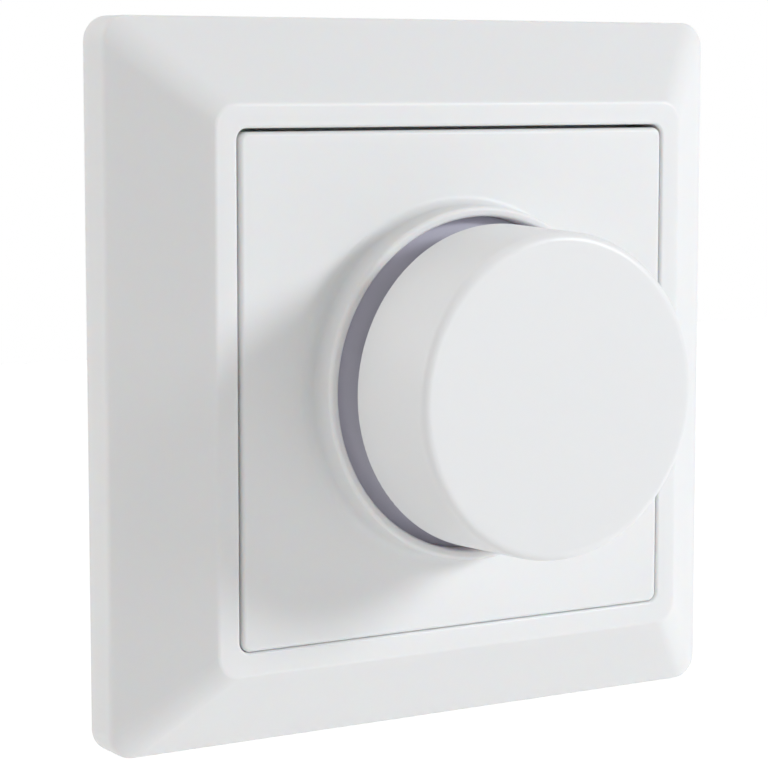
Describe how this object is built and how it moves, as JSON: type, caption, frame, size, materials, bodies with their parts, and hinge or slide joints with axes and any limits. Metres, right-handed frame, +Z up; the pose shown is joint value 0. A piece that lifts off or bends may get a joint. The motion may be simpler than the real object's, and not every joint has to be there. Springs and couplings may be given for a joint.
{
  "type": "rotary dimmer switch",
  "caption": "Wall rotary dimmer: square bevelled frame, centre plate with raised collar, plain round knob that turns and pushes, and a terminal insert for a flush wall box.",
  "frame": {"origin": "on the knob's axis, in the wall plane, at the centre of the box-screw slots", "axes": "+Z up the wall, +X to the right seen from the room, the knob faces -Y into the room and the insert reaches to +Y into the wall box"},
  "size_m": [0.08, 0.0537, 0.08],
  "materials": {
    "frame_plastic": "satin white moulding",
    "knob_plastic": "satin white moulding",
    "light_guide": "milky grey-violet light guide",
    "housing_plastic": "matt grey moulding",
    "plated_steel": "zinc-plated",
    "spring_steel": "bare spring steel",
    "brass": "bare",
    "zinc_die_cast": "nickel-plated",
    "contact_alloy": "bare",
    "board": "green solder mask",
    "black_plastic": "matt black moulding",
    "lamp": "clear-cased lamp",
    "film_case": "yellow case",
    "sleeve": "shrunk sleeve",
    "varistor_coat": "blue dipped coat",
    "fuse_tube": "glazed tube with plated caps",
    "ferrite": "sintered",
    "enamelled_copper": "enamelled wire",
    "aluminium": "sheet",
    "insulator": "thin sheet"
  },
  "bodies": {
    "base": {"cover_frame": "frame_plastic", "centre_plate": "frame_plastic", "light_ring": "light_guide", "encoder_neck": "zinc_die_cast", "encoder_case": "black_plastic", "encoder_wipers": "contact_alloy", "switch_spring": "spring_steel", "switch_contacts": "contact_alloy", "neck_washer": "plated_steel", "neck_nut": "plated_steel", "support_plate": "plated_steel", "housing_cover": "housing_plastic", "housing_tub": "housing_plastic", "housing_screws": "plated_steel", "control_board": "board", "indicator_leds": "lamp", "control_chip": "black_plastic", "main_board": "board", "header_socket": "black_plastic", "header_pins": "contact_alloy", "terminal_block": "black_plastic", "terminal_cages": "brass", "terminal_screws": "plated_steel", "power_transistors": "black_plastic", "transistor_screws": "plated_steel", "insulating_sheet": "insulator", "heat_spreader": "aluminium", "choke_core": "ferrite", "choke_winding": "enamelled_copper", "film_capacitor": "film_case", "bulk_capacitor": "sleeve", "varistor": "varistor_coat", "fuse": "fuse_tube"},
    "rotor": {"encoder_rotor": "black_plastic"},
    "knob": {"knob": "knob_plastic", "knob_clip": "spring_steel", "control_shaft": "brass"},
    "plunger": {"switch_plunger": "contact_alloy"}
  },
  "joints": [
    {"name": "knob_turn", "type": "hinge", "parent": "base", "child": "rotor", "pos_m": [0, 0, 0], "axis": [0, 1, 0], "continuous": true},
    {"name": "knob_push", "type": "slide", "parent": "rotor", "child": "knob", "axis": [0, 1, 0], "range_m": [0, 0.0015], "stiffness_N_per_m": 1500, "springref_m": -0.001},
    {"name": "plunger_push", "type": "slide", "parent": "base", "child": "plunger", "axis": [0, 1, 0], "range_m": [0, 0.0015], "deforming": ["switch_spring"]}
  ],
  "couplings": [
    {"joint": "plunger_push", "follows": "knob_push", "ratio": 1}
  ]
}
